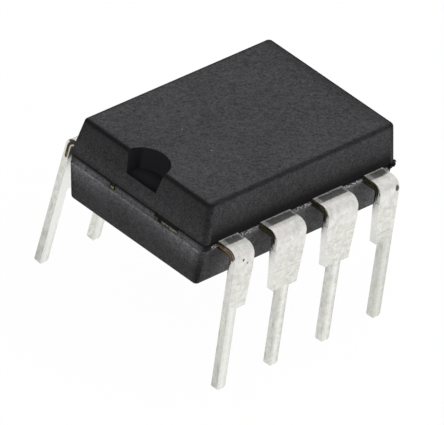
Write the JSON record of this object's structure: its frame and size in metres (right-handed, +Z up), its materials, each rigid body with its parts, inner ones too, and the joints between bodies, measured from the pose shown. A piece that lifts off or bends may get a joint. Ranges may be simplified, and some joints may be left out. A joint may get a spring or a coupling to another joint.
{
  "type": "dual in-line package integrated circuit",
  "caption": "Moulded dual in-line integrated circuit with an index notch and splayed, shouldered through-hole leads on both sides.",
  "frame": {"origin": "on the surface that the lead tips stand on, midway between the two rows and the two ends", "axes": "+X along the body away from the index notch, +Y towards leads 5 to 8, +Z up through the top face"},
  "size_m": [0.0094, 0.0088, 0.007],
  "materials": {
    "epoxy": "spark-eroded matte black moulding compound",
    "tinned_lead": "matte tin plating, bare copper where the tie between leads was cut",
    "copper_leadframe": "stamped copper alloy",
    "die_attach": "cured silver-filled epoxy",
    "silicon": "polished silicon",
    "gold_wire": "drawn gold"
  },
  "bodies": {
    "root": {"package_body": "epoxy", "lead_1": "tinned_lead", "lead_2": "tinned_lead", "lead_3": "tinned_lead", "lead_4": "tinned_lead", "lead_5": "tinned_lead", "lead_6": "tinned_lead", "lead_7": "tinned_lead", "lead_8": "tinned_lead", "die_pad": "copper_leadframe", "die_attach": "die_attach", "silicon_die": "silicon", "bond_wire_1": "gold_wire", "bond_wire_2": "gold_wire", "bond_wire_3": "gold_wire", "bond_wire_4": "gold_wire", "bond_wire_5": "gold_wire", "bond_wire_6": "gold_wire", "bond_wire_7": "gold_wire", "bond_wire_8": "gold_wire"}
  },
  "joints": []
}
